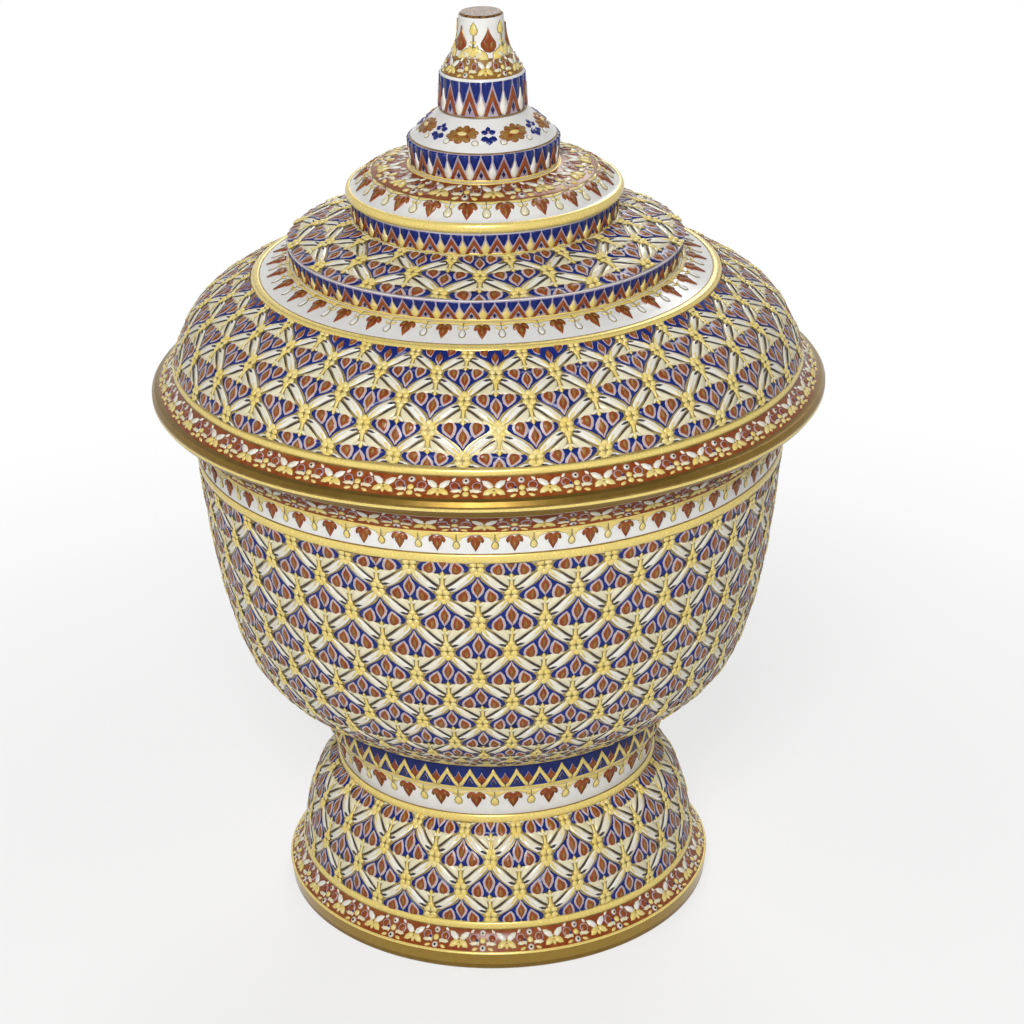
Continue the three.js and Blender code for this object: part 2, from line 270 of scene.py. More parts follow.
# Enamels, in linear colours: thin is the colour where the coat runs thin, and thinness how much of it shows
enamels = {
    "cobalt": {"name": "cobaltEnamel", "color": (0.0025, 0.014, 0.15), "thin": (0.007, 0.03, 0.23),
               "thinness": 0.6, "gloss": 0.14},
    "navy": {"name": "navyEnamel", "color": (0.012, 0.016, 0.075), "thin": (0.03, 0.035, 0.10),
             "thinness": 0.5, "gloss": 0.16},
    "redBrown": {"name": "redBrownEnamel", "color": (0.25, 0.042, 0.006), "thin": (0.34, 0.11, 0.02),
                 "thinness": 0.7, "gloss": 0.16},
    "rust": {"name": "rustEnamel", "color": (0.26, 0.11, 0.02), "thin": (0.38, 0.23, 0.05),
             "thinness": 0.7, "gloss": 0.2},
    "white": {"name": "whiteGlaze", "color": (0.87, 0.86, 0.82), "thin": (0.80, 0.80, 0.80),
              "thinness": 0.6, "gloss": 0.1, "bump": 0.000005, "shine": 0.4},
    "petal": {"name": "whitePetalEnamel", "color": (0.87, 0.86, 0.82), "thin": (0.80, 0.72, 0.52),
              "thinness": 0.8, "gloss": 0.12, "shine": 0.5},
    "cream": {"name": "creamEnamel", "color": (0.80, 0.72, 0.46), "thin": (0.84, 0.80, 0.62),
              "thinness": 0.8, "gloss": 0.14, "shine": 0.45},
    "yellow": {"name": "yellowEnamel", "color": (0.84, 0.64, 0.16), "thin": (0.84, 0.73, 0.34),
               "thinness": 0.8, "gloss": 0.14, "shine": 0.45},
    "lilac": {"name": "lilacOutline", "color": (0.37, 0.29, 0.37), "thin": (0.56, 0.50, 0.54),
              "thinness": 0.8, "gloss": 0.22},
    "blush": {"name": "blushOutline", "color": (0.50, 0.39, 0.38), "thin": (0.60, 0.52, 0.52),
              "thinness": 0.8, "gloss": 0.22},
    "khaki": {"name": "khakiOutline", "color": (0.22, 0.17, 0.06), "thin": (0.36, 0.30, 0.13),
              "thinness": 0.8, "gloss": 0.3},
    "dark": {"name": "darkLine", "color": (0.045, 0.034, 0.032), "thin": (0.07, 0.055, 0.06),
             "thinness": 0.7, "gloss": 0.22},
    "gold": {"name": "brightGilding", "color": (0.86, 0.68, 0.21), "thin": (0.80, 0.59, 0.16),
             "thinness": 0.25, "gloss": 0.2, "metal": 0.2, "bump": 0.000001, "shine": 0.35},
    "lattice": {"name": "latticeGold", "color": (0.42, 0.31, 0.10), "thin": (0.24, 0.18, 0.06),
                "thinness": 0.8, "gloss": 0.22, "metal": 0.2, "bump": 0.000008, "shine": 0.4},
    # lipGold is gold darkened as a painted dark reflection and painted shade, for the lid's lip and the
    # lowest strip of the foot's gilded edge
    "lipGold": {"name": "darkReflectionGold", "color": (0.20, 0.12, 0.024), "thin": (0.25, 0.155, 0.035),
                "thinness": 0.6, "gloss": 0.24, "metal": 0.85, "bump": 0.000004},
    # footGold is gold darkened as a painted dark reflection, for the foot's gilded band
    "footGold": {"name": "dimReflectionGold", "color": (0.32, 0.20, 0.042), "thin": (0.36, 0.235, 0.055),
                 "thinness": 0.6, "gloss": 0.18, "metal": 0.85, "bump": 0.000004},
    "goldLine": {"name": "goldOutline", "color": (0.20, 0.12, 0.03), "thin": (0.36, 0.23, 0.06),
                 "thinness": 0.8, "gloss": 0.3, "metal": 0.4},
    "speckle": {"name": "speckledTop", "color": (0.07, 0.025, 0.006), "thin": (0.36, 0.19, 0.06),
                "thinness": 1.0, "gloss": 0.25, "grain": 1500},
    "biscuit": {"name": "bareBiscuit", "color": (0.74, 0.69, 0.58), "thin": (0.66, 0.60, 0.48),
                "thinness": 0.8, "gloss": 0.75, "bump": 0.00004},
}
finishes = {key: makeFinish(**settings) for key, settings in enamels.items()}
finishOrder = list(finishes)
print("finishes mixed")


# Walls: each node's section is read from the node itself and rounded between its points, but not at corners.
# Lengths are in mm and angles in degrees, apart from "touching", which is in metres.
section = {"touching": 1e-6, "corner": 24.0, "step": 1.6, "bandEnd": 0.02, "bandWeld": 0.002, "sharp": 35}


def nodeSection(nodeName):
    # The points of the cut at y = 0 in their order, from the lower end, or round it where it has no ends
    build = bmesh.new()
    build.from_mesh(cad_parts[nodeName].data)
    touching = section["touching"]
    bmesh.ops.remove_doubles(build, verts=build.verts[:], dist=touching)
    near = {v for v in build.verts if abs(v.co.y) < touching and v.co.x > -touching}
    beside = {v: [e.other_vert(v) for e in v.link_edges if e.other_vert(v) in near] for v in near}
    ends = [v for v in near if len(beside[v]) == 1]
    first = min(ends or near, key=lambda v: (round(v.co.z / mm, 2), v.co.x))
    walk = [first, min(beside[first], key=lambda v: v.co.z)]
    while walk[-1] is not first and len(beside[walk[-1]]) == 2:
        walk.append(next(v for v in beside[walk[-1]] if v is not walk[-2]))
    points = [(v.co.x / mm, v.co.z / mm) for v in walk]
    build.free()
    return points


def turnAt(points, i):
    # The bend at a point, in degrees; the ends count as corners
    if i <= 0 or i >= len(points) - 1:
        return 180.0
    (ax, ay), (bx, by), (cx, cy) = points[i - 1:i + 2]
    turn = math.atan2(cy - by, cx - bx) - math.atan2(by - ay, bx - ax)
    return abs(math.degrees(math.remainder(turn, math.tau)))


def roundedSection(points):
    fine = [points[0]]
    for i in range(len(points) - 1):
        a, b = Vector(points[i]), Vector(points[i + 1])
        length = (b - a).length
        before = Vector(points[i - 1]) if turnAt(points, i) < section["corner"] else 2 * a - b
        after = Vector(points[i + 2]) if turnAt(points, i + 1) < section["corner"] else 2 * b - a
        leave = (b - before).normalized() * length
        arrive = (after - a).normalized() * length
        parts = max(1, round(length / section["step"]))
        for k in range(1, parts + 1):
            t = k / parts
            fine.append(tuple((2 * t**3 - 3 * t**2 + 1) * a + (t**3 - 2 * t**2 + t) * leave
                              + (3 * t**2 - 2 * t**3) * b + (t**3 - t**2) * arrive))
    return fine


def makeWall(nodeName):
    points = [Vector(p) for p in roundedSection(nodeSection(nodeName))]
    along = [0.0]
    for a, b in zip(points, points[1:]):
        along.append(along[-1] + (b - a).length)
    steps = [(b - a).normalized() for a, b in zip(points, points[1:])]
    ways = [steps[0]] + [(a + b).normalized() for a, b in zip(steps, steps[1:])] + [steps[-1]]
    return {"points": points, "along": along, "out": [Vector((w.y, -w.x)) for w in ways]}


def onWall(wall, s):
    # The point at distance s along the section, and the way out of the wall there
    along = wall["along"]
    i = min(max(bisect.bisect_right(along, s) - 1, 0), len(along) - 2)
    t = min(max((s - along[i]) / (along[i + 1] - along[i]), 0.0), 1.0)
    return (wall["points"][i].lerp(wall["points"][i + 1], t),
            wall["out"][i].lerp(wall["out"][i + 1], t).normalized())


def spinLine(build, points, steps, finish, closed=False):
    # Revolves a line of (radius, height) points in mm and gives the new faces their finish
    for face in build.faces:
        face.tag = True
    verts = [build.verts.new((r * mm, 0, z * mm)) for r, z in points]
    edges = [build.edges.new(pair) for pair in zip(verts, verts[1:])]
    if closed:
        edges.append(build.edges.new((verts[-1], verts[0])))
    bmesh.ops.spin(build, geom=verts + edges, cent=(0, 0, 0), axis=(0, 0, 1), dvec=(0, 0, 0),
                   angle=math.tau, steps=steps, use_merge=True)
    for face in build.faces:
        if not face.tag:
            face.material_index = finishOrder.index(finish)
            face.smooth = True


def addPiece(name, build, body, sharp=None):
    used = sorted({face.material_index for face in build.faces})
    for face in build.faces:
        face.material_index = used.index(face.material_index)
    mesh = bpy.data.meshes.new(name)
    build.to_mesh(mesh)
    build.free()
    for index in used:
        mesh.materials.append(finishes[finishOrder[index]])
    if sharp:
        mesh.set_sharp_from_angle(angle=math.radians(sharp))
    piece = bpy.data.objects.new(name, mesh)
    bpy.context.collection.objects.link(piece)
    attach(piece, body)
    return piece


def makeShell(nodeName, look, wall):
    # The wall in its bands of glaze, each given with the distance along the section at which it ends
    build = bmesh.new()
    start = 0.0
    clear = section["bandEnd"]
    for end, finish in look["bands"]:
        end = min(end, wall["along"][-1])
        inside = [p for p, s in zip(wall["points"], wall["along"]) if start + clear < s < end - clear]
        line = [onWall(wall, start)[0], *inside, onWall(wall, end)[0]]
        spinLine(build, line, look["steps"], finish)
        start = end
    bmesh.ops.remove_doubles(build, verts=build.verts[:], dist=section["bandWeld"] * mm)
    bmesh.ops.recalc_face_normals(build, faces=build.faces[:])
    shell = addPiece(look["name"] + "_wall", build, look["body"], sharp=section["sharp"])
    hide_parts(nodeName)


# Rings: half-round beads that stand on the wall, given as middle, half width, height and finish, in mm. A
# broad one lies between two dark lines.
bead = {"points": 8, "sunk": 0.25, "sharp": 50, "broad": 1, "lineApart": 0.12, "lineHalf": 0.22,
        "lineHeight": 0.16}


def spinBead(build, wall, middle, half, high, finish, steps):
    low, top = onWall(wall, middle - half)[0], onWall(wall, middle + half)[0]
    centre = low.lerp(top, 0.5)
    way = (top - low).normalized()
    out = Vector((way.y, -way.x))
    line = []
    for k in range(bead["points"]):
        angle = math.pi * k / (bead["points"] - 1)
        line.append(centre - way * half * math.cos(angle) + out * high * math.sin(angle))
    sunk = out * bead["sunk"]
    spinLine(build, [line[0] - sunk, *line, line[-1] - sunk], steps, finish, closed=True)


def makeRings(look, wall):
    build = bmesh.new()
    for middle, half, high, finish in look["rings"]:
        spinBead(build, wall, middle, half, high, finish, look["steps"])
        if half > bead["broad"]:
            for side in (-1, 1):
                spinBead(build, wall, middle + side * (half + bead["lineApart"]), bead["lineHalf"],
                         bead["lineHeight"], "goldLine", look["steps"])
    bmesh.ops.recalc_face_normals(build, faces=build.faces[:])
    addPiece(look["name"] + "_gilded_rings", build, look["body"], sharp=bead["sharp"])


# Ornament: flat motifs are laid on a strip one repeat wide, with x round the wall, y along its section and z
# out of it, all in mm. Then the strip is bent onto the wall and repeated round it.
relief = {"sunk": 0.07, "bedded": 0.03, "slope": 0.13, "rimRise": 0.45, "cutNear": 0.01, "onMiddle": 1e-6}
hand = {"waver": 0.1, "swing": 9, "seed": 5}
noise.seed_set(hand["seed"])  # or the waver would change with the clock


def whole(half):
    # A symmetrical outline from its left half, which starts and ends on the middle line
    return half + [(-x, y) for x, y in reversed(half) if abs(x) > relief["onMiddle"]]


def placed(outline, x=0.0, y=0.0, turn=0.0, wide=1.0, tall=1.0):
    c, s = math.cos(math.radians(turn)), math.sin(math.radians(turn))
    return [(x + c * px * wide - s * py * tall, y + s * px * wide + c * py * tall) for px, py in outline]


def flipped(outline):
    return [(-x, y) for x, y in outline]


def disc(radius, sides=8):
    angles = [math.tau * k / sides for k in range(sides)]
    return [(radius * math.cos(angle), radius * math.sin(angle)) for angle in angles]


def petal(length, width):
    return [(0, 0), (0.3 * length, 0.5 * width), (0.7 * length, 0.45 * width), (length, 0),
            (0.7 * length, -0.45 * width), (0.3 * length, -0.5 * width)]


def bar(x, half, low, top):
    return [(x - half, low), (x + half, low), (x + half, top), (x - half, top)]


def lay(strip, outline, fill, high, edge=None, rim=0.25, under=0.0, slope=relief["slope"]):
    # One pad of enamel: an outline, a coloured rim where it has one, and a raised middle; "under" is the
    # height of what it lies on
    base = under - (relief["bedded"] if under else relief["sunk"])
    face = strip.faces.new([strip.verts.new((x, y, base)) for x, y in outline])
    face.normal_update()
    if face.normal.z < 0:
        face.normal_flip()
    if edge:
        rise = under + (high - under) * relief["rimRise"]
        ring = bmesh.ops.inset_region(strip, faces=[face], thickness=rim, depth=rise - base,
                                      use_boundary=True, use_even_offset=False)
        for side in ring["faces"]:
            side.material_index = finishOrder.index(edge)
        base = rise
    ring = bmesh.ops.inset_region(strip, faces=[face], thickness=slope, depth=high - base,
                                  use_boundary=True, use_even_offset=False)
    for side in [face, *ring["faces"]]:
        side.material_index = finishOrder.index(fill)


def allOf(strip):
    return strip.verts[:] + strip.edges[:] + strip.faces[:]


def cutStrip(strip, across, up):
    # Cuts the pads into small faces, so that they follow the round of the wall
    for value, normal in [(x, (1, 0, 0)) for x in across] + [(y, (0, 1, 0)) for y in up]:
        spot = (value, 0, 0) if normal[0] else (0, value, 0)
        bmesh.ops.bisect_plane(strip, geom=allOf(strip), dist=relief["cutNear"], plane_co=spot,
                               plane_no=normal)


def trimStrip(strip, low, top):
    for value, way in ((low, -1), (top, 1)):
        bmesh.ops.bisect_plane(strip, geom=allOf(strip), dist=relief["cutNear"], plane_co=(0, value, 0),
                               plane_no=(0, way, 0), clear_outer=True)


def wrapStrip(strip, wall, count, turn, width, target, waver=hand["waver"]):
    # Repeats the strip, lets it waver as a painter's hand does, and bends it onto the wall
    bmesh.ops.spin(strip, geom=allOf(strip), cent=(0, 0, 0), axis=(0, 0, 1), dvec=(width, 0, 0), angle=0,
                   steps=count - 1, use_duplicate=True)
    radius = count * width / math.tau
    for vert in strip.verts:
        angle = math.radians(turn) + vert.co.x / radius
        there = Vector((math.cos(angle) * radius, math.sin(angle) * radius, vert.co.y))
        drift = noise.noise_vector(there / hand["swing"]) * waver
        angle += drift.x / radius
        spot, out = onWall(wall, vert.co.y + drift.y)
        spot = spot + out * vert.co.z
        vert.co = Vector((spot.x * math.sin(angle), -spot.x * math.cos(angle), spot.y)) * mm
    part = bpy.data.meshes.new("strip")
    strip.to_mesh(part)
    strip.free()
    target.from_mesh(part)
    bpy.data.meshes.remove(part)


def bandOf(look, wall):
    # A band's lower and upper end along the section, and the width of one repeat round its middle
    low, top = look["from"], look["to"]
    return low, top, math.tau * onWall(wall, (low + top) / 2)[0].x / look["count"]


pieceNames = {"cobalt": "cobalt", "navy": "navy", "redBrown": "red", "rust": "rust", "white": "white",
              "petal": "white_petals", "cream": "cream", "yellow": "yellow", "lilac": "lilac_outlines",
              "blush": "blush_outlines", "khaki": "khaki_outlines", "dark": "dark_lines", "gold": "gilding",
              "goldLine": "gold_outlines"}


def splitByFinish(look, ornament):
    for finish, word in pieceNames.items():
        index = finishOrder.index(finish)
        part = ornament.copy()
        others = [face for face in part.faces if face.material_index != index]
        bmesh.ops.delete(part, geom=others, context="FACES")
        if not part.faces:
            part.free()
            continue
        for face in part.faces:
            face.smooth = True
        addPiece(look["name"] + "_" + word, part, look["body"])
    ornament.free()


# Lattice: its cell is drawn for a repeat 15.2 mm wide and rows 7.63 mm apart, from the node below, at 0, to
# the tip of the ogee. Outlines that come in pairs are given for the left side.
cell = {
    "width": 15.2, "row": 7.63, "cut": 3.9, "waver": 0.5,
    "ogee": whole([(0, 12.9), (-1.0, 11.3), (-2.3, 10.15), (-3.7, 9.2), (-5.0, 8.35), (-5.8, 7.5),
                   (-5.8, 6.7), (-5.2, 6.0), (-4.3, 6.3), (-3.2, 6.0), (-2.2, 5.8), (-1.3, 5.5), (0, 6.0)]),
    "middleLeaf": whole([(0, 12.5), (-0.65, 11.4), (-1.25, 10.45), (-1.55, 9.4), (-1.25, 8.2), (-0.65, 7.2),
                         (0, 6.4)]),
    "sideLeaf": [(-2.5, 9.6), (-3.6, 8.95), (-4.55, 8.05), (-4.9, 6.9), (-4.45, 5.7), (-3.4, 5.0),
                 (-2.3, 5.15), (-1.6, 5.9), (-1.4, 7.0), (-1.7, 8.4)],
    "vein": [(-0.35, 8.3), (0, 8.0), (0.35, 8.3), (0.3, 9.4), (0, 10.3), (-0.3, 9.4)],
    "sideVein": [(-3.2, 6.1), (-2.6, 6.2), (-2.5, 7.2), (-2.85, 8.0), (-3.3, 7.2)],
    "wing": [(-0.9, 0.85), (-2.6, 0.9), (-3.6, 1.5), (-4.9, 2.5), (-6.1, 3.75), (-7.0, 4.9), (-6.9, 6.2),
             (-6.1, 6.2), (-5.1, 5.5), (-4.0, 4.6), (-2.6, 3.3), (-1.2, 2.2)],
    "feather": [(-2.9, 1.9), (-3.9, 2.6), (-4.9, 3.6), (-5.7, 4.7), (-4.7, 3.95), (-3.7, 2.95)],
    "innerPetal": [(-0.5, 2.5), (-1.7, 3.15), (-3.1, 4.3), (-4.8, 5.9), (-4.0, 6.3), (-2.8, 6.0),
                   (-1.9, 5.85), (-1.0, 5.4), (-0.5, 3.8)],
    "upperSlit": [(-0.8, 2.25), (-1.9, 2.85), (-3.1, 3.9), (-4.5, 5.4), (-3.0, 4.4), (-1.8, 3.4),
                  (-0.85, 2.7)],
    "lowerSlit": [(-3.1, 2.05), (-2.2, 1.4), (-1.1, 1.2), (-1.2, 1.8), (-2.1, 2.15)],
    "stem": whole([(0, 5.0), (-0.35, 4.6), (-0.42, 4.0), (-0.5, 3.0), (-0.7, 1.8), (0, 1.4)]),
    "floret": [(38, "cream"), (142, "cream"), (90, "yellow")], "floretLevel": 4.5, "floretPetal": (2.1, 1.0),
    "beads": [(-0.82, 0.78), (0.82, 0.78), (-0.82, -0.78), (0.82, -0.78), (0, 1.9), (0, -1.9)],
    "beadRadius": 0.82,
    "arm": [(-0.2, -1.2), (-1.15, -0.9), (-1.95, -2.2), (-2.75, -3.8), (-1.7, -3.6), (-0.85, -2.4)],
}


def layCell(strip, x, low, middle, top):
    # One cell between the node below and the node above, fitted to the levels of three rows
    def fit(outline):
        fitted = []
        for px, py in outline:
            part = py / cell["row"]
            y = low + (middle - low) * part if part < 1 else middle + (top - middle) * (part - 1)
            fitted.append((x + px, y))
        return fitted

    def pair(key, *args, **kwargs):
        lay(strip, fit(cell[key]), *args, **kwargs)
        lay(strip, fit(flipped(cell[key])), *args, **kwargs)

    pair("wing", "petal", 0.24, edge="khaki", rim=0.15)
    pair("feather", "cream", 0.32, under=0.24, slope=0.08)
    pair("innerPetal", "cream", 0.26, edge="khaki", rim=0.12)
    pair("upperSlit", "dark", 0.36, under=0.2, slope=0.06)
    pair("lowerSlit", "dark", 0.36, under=0.2, slope=0.06)
    lay(strip, fit(cell["ogee"]), "cobalt", 0.16)
    pair("sideLeaf", "redBrown", 0.32, edge="blush", rim=0.62, under=0.16, slope=0.12)
    pair("sideVein", "rust", 0.4, under=0.32, slope=0.05)
    lay(strip, fit(cell["middleLeaf"]), "redBrown", 0.32, edge="blush", rim=0.6, under=0.16, slope=0.12)
    lay(strip, fit(cell["vein"]), "rust", 0.4, under=0.32, slope=0.05)
    lay(strip, fit(cell["stem"]), "yellow", 0.36, edge="khaki", rim=0.13)
    for turn, fill in cell["floret"]:
        outline = placed(petal(*cell["floretPetal"]), 0, cell["floretLevel"], turn)
        lay(strip, fit(outline), fill, 0.42, edge="khaki", rim=0.12, under=0.2)
    pair("arm", "yellow", 0.36, edge="khaki", rim=0.14)
    for spot in cell["beads"]:
        lay(strip, fit(placed(disc(cell["beadRadius"], 7), *spot)), "yellow", 0.56, edge="yellow", rim=0.17,
            under=0.3, slope=0.2)


def downward(wall, look):
    total = wall["along"][-1]
    turned = {"points": wall["points"][::-1], "along": [total - s for s in reversed(wall["along"])],
              "out": wall["out"][::-1]}
    return turned, {**look, "from": total - look["to"], "to": total - look["from"],
                    "rows": [total - s for s in reversed(look["rows"])]}


def makeLattice(look, wall, target):
    # Where the tips point down, the strip is laid on the section run backwards, inside out, and turned over
    down = look.get("down")
    if down:
        wall, look = downward(wall, look)
    rows, low, top = look["rows"], look["from"], look["to"]

    def level(k):
        # The first and the last spacing go on beyond the rows
        if k < 0:
            return rows[0] + (rows[1] - rows[0]) * k
        if k >= len(rows):
            return rows[-1] + (rows[-1] - rows[-2]) * (k - len(rows) + 1)
        return rows[k]

    strip = bmesh.new()
    width = cell["width"]
    for i in range(-2, len(rows)):
        layCell(strip, (i % 2) * width / 2, level(i), level(i + 1), level(i + 2))
    cuts = int((top - low) / cell["cut"])
    cutStrip(strip, [width * k / 4 for k in range(-2, 5)],
             [low + cell["cut"] * k for k in range(1, cuts + 1)])
    trimStrip(strip, low, top)
    if down:
        bmesh.ops.reverse_faces(strip, faces=strip.faces[:])
    wrapStrip(strip, wall, look["count"], look["turn"], width, target, waver=cell["waver"])


# White border: red three-lobed leaves hang from a gilded garland, with a drop between each two
border = {"leaf": whole([(0, -0.35), (-0.5, 0.05), (-1.2, 0.0), (-1.85, -0.5), (-2.1, -1.3), (-1.75, -1.9),
                         (-1.2, -1.5), (-1.1, -2.3), (-0.6, -3.2), (0, -4.2)]),
          "leafHeight": 4.2, "hang": 0.35, "dropAt": 0.6,
          "drop": whole([(0, 1.4), (-0.75, 0.8), (-1.1, -0.1), (-0.8, -1.0), (0, -1.35)])}


def makeBorder(look, wall, target):
    strip = bmesh.new()
    low, top, width = bandOf(look, wall)
    tall = look["leaf"] / border["leafHeight"]
    wide = look.get("wide", tall)
    leafTop = top - look.get("hang", border["hang"])
    lay(strip, placed(border["leaf"], 0, leafTop, 0, wide, tall), "redBrown", 0.28, slope=0.1)
    for side in (-1, 1):
        vein = placed(petal(1.3, 0.55), side * 0.75 * wide, leafTop - 0.5 * tall, 270 + side * 35, wide, tall)
        lay(strip, vein, "rust", 0.36, under=0.28, slope=0.06)
    vein = placed(petal(1.8, 0.5), 0, leafTop - 1.4 * tall, 270, wide, tall)
    lay(strip, vein, "rust", 0.36, under=0.28, slope=0.06)
    dropLevel = leafTop - look["leaf"] * border["dropAt"]
    dropTop = dropLevel + 1.1 * tall
    lay(strip, bar(width / 2, 0.14, dropTop, top), "khaki", 0.16, slope=0.05)
    lay(strip, placed(border["drop"], width / 2, dropLevel, 0, wide, tall), look.get("drop", "yellow"), 0.32,
        edge="khaki", rim=0.36)
    for side in (-1, 1):
        leaflet = placed(petal(1.4 * tall, 0.8), width / 2 + side * 0.12, dropTop - 0.1, 90 - side * 55)
        lay(strip, leaflet, "yellow", 0.28, edge="khaki", rim=0.12)
    swag = look["swag"] * tall
    garland = [(-width / 2, top + 0.2), (-width / 2, top - swag), (-width / 2 + 0.8, top - swag),
               (-width / 2 + 1.6 * wide, top - 0.3 - 0.5 * swag), (-1.6 * wide, leafTop - 0.2),
               (-0.8, leafTop + 0.05)]
    lay(strip, whole(garland), "yellow", 0.2, edge="khaki", rim=0.2)
    cutStrip(strip, [-width / 4, 0, width / 4], [])
    trimStrip(strip, low, top + 0.1)
    wrapStrip(strip, wall, look["count"], look["turn"], width, target)


# Red band: broad-petalled flowers between ringed buds, with rosettes and yellow dots where two repeats meet.
# It is drawn for a repeat 12.4 wide and 5.6 tall.
floral = {"width": 12.4, "height": 5.6, "rosettes": (1.85, -1.85), "dots": (0.0,), "meet": 6.2,
          "petals": [(38, 3.5, "petal"), (142, 3.5, "petal"), (216, 3.1, "yellow"), (324, 3.1, "yellow")]}


def makeFloral(look, wall, target):
    strip = bmesh.new()
    low, top, width = bandOf(look, wall)
    middle = (low + top) / 2
    tall = (top - low) / floral["height"]
    wide = width / floral["width"]
    meet = floral["meet"]

    def drawn(outline, x=0.0, y=0.0, turn=0.0):
        return [(px * wide, middle + py * tall) for px, py in placed(outline, x, y, turn)]

    for side in (-1, 1):
        lay(strip, drawn(petal(3.0, 1.2), side * 2.6, -0.9, 90 - side * 82), "cream", 0.22, edge="khaki",
            rim=0.12)
        lay(strip, drawn(disc(1.3), side * 3.75, 0.5), "redBrown", 0.28, edge="lilac", rim=0.36)
        lay(strip, drawn(petal(1.4, 0.7), side * 3.0, 1.7, 90 - side * 40), "petal", 0.24, slope=0.1)
        lay(strip, drawn(petal(1.7, 0.8), side * 3.4, -2.4, 90 - side * 70), "yellow", 0.24, slope=0.1)
        lay(strip, drawn(petal(1.0, 0.55), side * 5.0, -1.3, 90), "cream", 0.24, slope=0.1)
    for turn, length, fill in floral["petals"]:
        lay(strip, drawn(petal(length, 1.75), 0, -0.1, turn), fill, 0.32, edge="khaki", rim=0.12)
    lay(strip, drawn(petal(1.6, 0.9), 0, -0.6, 270), "yellow", 0.3, slope=0.1)
    lay(strip, drawn(disc(0.55, 7)), "rust", 0.46, edge="yellow", rim=0.2, under=0.3)
    for level in look.get("rosettes", floral["rosettes"]):
        lay(strip, drawn(disc(0.95), meet, level), "cream", 0.28, edge="lilac", rim=0.3)
        lay(strip, drawn(disc(0.36, 6), meet, level), "navy", 0.38, under=0.28, slope=0.06)
    for level in look.get("dots", floral["dots"]):
        lay(strip, drawn(disc(0.85), meet, level), "yellow", 0.36, edge="khaki", rim=0.12, slope=0.18)
    lay(strip, drawn(disc(0.5, 7), 4.75, 0.0), "cobalt", 0.3, edge="cream", rim=0.12)
    cutStrip(strip, [-width / 4, 0, width / 4, width / 2], [middle])
    trimStrip(strip, low, top)
    wrapStrip(strip, wall, look["count"], look["turn"], width, target)


# Drum: red chevrons under hanging blue triangles, with a drop between each two. Its outlines and the
# collar's are in parts of a repeat and of the band's height.
teeth = {"triangle": [(-0.465, 1.0), (-0.025, 1.0), (-0.025, 0.92), (-0.27, 0.4), (-0.33, 0.4),
                      (-0.465, 0.74)],
         "chevron": whole([(0, 0.80), (-0.40, 0.02), (-0.23, 0.02), (0, 0.47)]),
         "diamond": whole([(0, 0.33), (-0.09, 0.2), (0, 0.06)]),
         "drop": whole([(0, 0.7), (-0.06, 0.5), (-0.18, 0.28), (-0.15, 0.1), (0, 0.01)]),
         "cuts": 12}


def scaled(outline, x, low, width, tall):
    return [((px + x) * width, low + py * tall) for px, py in outline]


def makeTeeth(look, wall, target):
    strip = bmesh.new()
    low, top, width = bandOf(look, wall)
    tall = top - low
    for outline in (teeth["triangle"], flipped(teeth["triangle"])):
        lay(strip, scaled(outline, 0, low, width, tall), "cobalt", 0.14, slope=0.06)
    lay(strip, scaled(teeth["chevron"], 0, low, width, tall), "redBrown", 0.22, slope=0.07)
    lay(strip, scaled(teeth["diamond"], 0, low, width, tall), "navy", 0.2, slope=0.05)
    lay(strip, scaled(teeth["drop"], 0.5, low, width, tall), look["drops"], 0.3, slope=0.1)
    cutStrip(strip, [-width / 4, 0, width / 4, width / 2],
             [low + tall * k / teeth["cuts"] for k in range(1, teeth["cuts"])])
    wrapStrip(strip, wall, look["count"], look["turn"], width, target)


# Collar: a gilded zigzag with blue above it and a red spade between each two points
collar = {"zigzag": whole([(0, 0.9), (-0.12, 0.72), (-0.5, 0.16), (-0.5, 0.0), (-0.36, 0.0), (0, 0.6)]),
          "diamond": whole([(0, 0.46), (-0.13, 0.22), (0, 0.03)]),
          "spade": whole([(0, 0.74), (-0.1, 0.56), (-0.24, 0.42), (-0.16, 0.26), (0, 0.2)])}


def makeCollar(look, wall, target):
    strip = bmesh.new()
    low, top, width = bandOf(look, wall)
    tall = top - low
    lay(strip, scaled(collar["zigzag"], 0, low, width, tall), "gold", 0.34, edge="goldLine", rim=0.1)
    lay(strip, scaled(collar["diamond"], 0, low, width, tall), "navy", 0.22, edge="lilac", rim=0.14)
    lay(strip, scaled(collar["spade"], 0.5, low, width, tall), "redBrown", 0.26, edge="lilac", rim=0.2)
    cutStrip(strip, [-width / 4, 0, width / 4, width / 2], [])
    trimStrip(strip, low, top)
    wrapStrip(strip, wall, look["count"], look["turn"], width, target)


# Finial's shoulder: brown flowers of ten small discs round a broad one, and small blue sprigs by turns
shoulder = {"discs": [(3.9, 0.75, 0.75), (2.6, 1.35, 1.05), (0.7, 1.85, 1.15), (-1.5, 1.45, 1.05),
                      (-3.9, -0.75, 0.75), (-2.6, -1.35, 1.05), (-0.7, -1.85, 1.15), (1.5, -1.45, 1.05),
                      (3.2, -0.35, 0.9), (-3.2, 0.35, 0.9)],
            "spread": (0.86, 0.92), "leaves": (30, 150, 210, 330),
            "upperSprig": (12, 90, 168), "lowerSprig": (200, 270, 340)}


